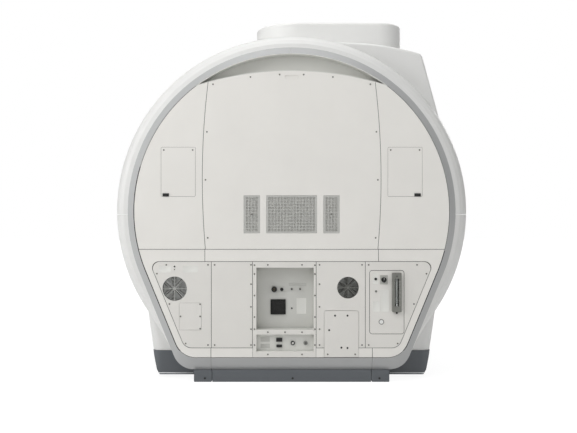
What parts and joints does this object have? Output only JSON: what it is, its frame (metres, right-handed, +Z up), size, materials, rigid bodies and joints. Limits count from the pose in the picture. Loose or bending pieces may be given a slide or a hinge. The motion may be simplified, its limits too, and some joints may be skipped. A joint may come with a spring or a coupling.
{
  "type": "mri scanner",
  "caption": "Cylindrical magnetic resonance scanner seen in service from behind: round white covers, grey trim band, service panels and a patient table at the bore's front.",
  "frame": {"origin": "on the floor straight below the isocentre, at the centre of the anchor hole pattern", "axes": "+X to the right seen from behind (the pictured side), +Y from the rear face along the bore to the table, +Z up"},
  "size_m": [2.15, 4.0203, 2.234],
  "materials": {
    "cover_white": "satin",
    "panel_white": "satin",
    "lower_white": "satin",
    "band_grey": "satin",
    "base_grey": "satin",
    "grille_grey": "matt",
    "grille_mat": "matt",
    "tray_grey": "satin",
    "frame_steel": "satin",
    "dark_plastic": "matt",
    "filter_foam": "matt",
    "guard_metal": "satin",
    "fan_plastic": "satin",
    "toggle_metal": "polished",
    "meter_body": "satin",
    "meter_glass": "clear",
    "float_metal": "satin",
    "button_white": "gloss",
    "fitting_grey": "satin",
    "screw_steel": "satin",
    "vessel_steel": "satin",
    "coil_resin": "satin",
    "liner_white": "satin",
    "foot_iron": "painted",
    "column_metal": "anodised",
    "table_white": "satin",
    "top_composite": "satin",
    "pad_vinyl": "matt vinyl"
  },
  "bodies": {
    "gantry": {"rear_cover_upper": "cover_white", "rear_cover_left": "cover_white", "rear_cover_right": "cover_white", "front_cover_left": "cover_white", "front_cover_right": "cover_white", "turret_cover": "cover_white", "rear_band": "band_grey", "front_fascia": "cover_white", "bore_funnel": "cover_white", "base_cover_left": "base_grey", "base_cover_right": "base_grey", "plinth": "base_grey", "rear_frame": "frame_steel", "crest_tray": "tray_grey", "upper_centre_panel": "panel_white", "upper_panel_left": "panel_white", "upper_panel_right": "panel_white", "side_hatches": "panel_white", "grille_centre": "grille_grey", "grille_sides": "grille_grey", "grille_filters": "grille_mat", "surround_top": "panel_white", "surround_left": "panel_white", "surround_right": "panel_white", "surround_bottom": "panel_white", "fan_panel_left": "lower_white", "blank_panel": "lower_white", "fan_panel_right": "lower_white", "instrument_carrier": "lower_white", "lower_hatches": "lower_white", "connector_frame": "lower_white", "recess_tray": "tray_grey", "strip_tray": "tray_grey", "recess_filter": "filter_foam", "dark_fittings": "dark_plastic", "fan_housings": "fan_plastic", "fan_guards": "guard_metal", "instrument_plate": "lower_white", "instrument_fittings": "fitting_grey", "flowmeter_body": "meter_body", "flowmeter_tube": "meter_glass", "panel_screws": "screw_steel", "magnet_vessel": "vessel_steel", "magnet_feet": "foot_iron", "gradient_coil": "coil_resin", "bore_liner": "liner_white", "cold_head": "vessel_steel", "table_base": "table_white"},
    "table_lift": {"table_column": "column_metal", "table_frame": "table_white"},
    "tabletop": {"tabletop": "top_composite", "table_pad": "pad_vinyl"},
    "left_fan": {"fan_rotor_left": "fan_plastic"},
    "right_fan": {"fan_rotor_right": "fan_plastic"},
    "left_toggle": {"toggle_left": "toggle_metal"},
    "right_toggle": {"toggle_right": "toggle_metal"},
    "meter_float": {"flowmeter_float": "float_metal"},
    "meter_valve": {"flowmeter_valve": "dark_plastic"},
    "selector": {"selector_knob": "dark_plastic"},
    "button": {"push_button": "button_white"}
  },
  "joints": [
    {"name": "table_height", "type": "slide", "parent": "gantry", "child": "table_lift", "axis": [0, 0, 1], "range_m": [-0.3, 0]},
    {"name": "tabletop_slide", "type": "slide", "parent": "table_lift", "child": "tabletop", "axis": [0, -1, 0], "range_m": [0, 1.58]},
    {"name": "left_fan_spin", "type": "hinge", "parent": "gantry", "child": "left_fan", "pos_m": [-0.702, -0.78, 0.562], "axis": [0, 1, 0], "continuous": true},
    {"name": "right_fan_spin", "type": "hinge", "parent": "gantry", "child": "right_fan", "pos_m": [0.338, -0.78, 0.568], "axis": [0, 1, 0], "continuous": true},
    {"name": "left_toggle_throw", "type": "hinge", "parent": "gantry", "child": "left_toggle", "pos_m": [0.0005, -0.7205, 0.553], "axis": [1, 0, 0], "range_deg": [0, 28]},
    {"name": "right_toggle_throw", "type": "hinge", "parent": "gantry", "child": "right_toggle", "pos_m": [0.0515, -0.7205, 0.553], "axis": [1, 0, 0], "range_deg": [0, 28]},
    {"name": "float_rise", "type": "slide", "parent": "gantry", "child": "meter_float", "axis": [0, 0, 1], "range_m": [0, 0.14]},
    {"name": "valve_turn", "type": "hinge", "parent": "gantry", "child": "meter_valve", "pos_m": [0.6295, -0.807, 0.415], "axis": [0, 0, 1], "range_deg": [0, 720]},
    {"name": "selector_turn", "type": "hinge", "parent": "gantry", "child": "selector", "pos_m": [0.553, -0.81, 0.6155], "axis": [0, 1, 0], "range_deg": [0, 90]},
    {"name": "button_press", "type": "slide", "parent": "gantry", "child": "button", "axis": [0, 1, 0], "range_m": [0, 0.003], "stiffness_N_per_m": 400}
  ]
}
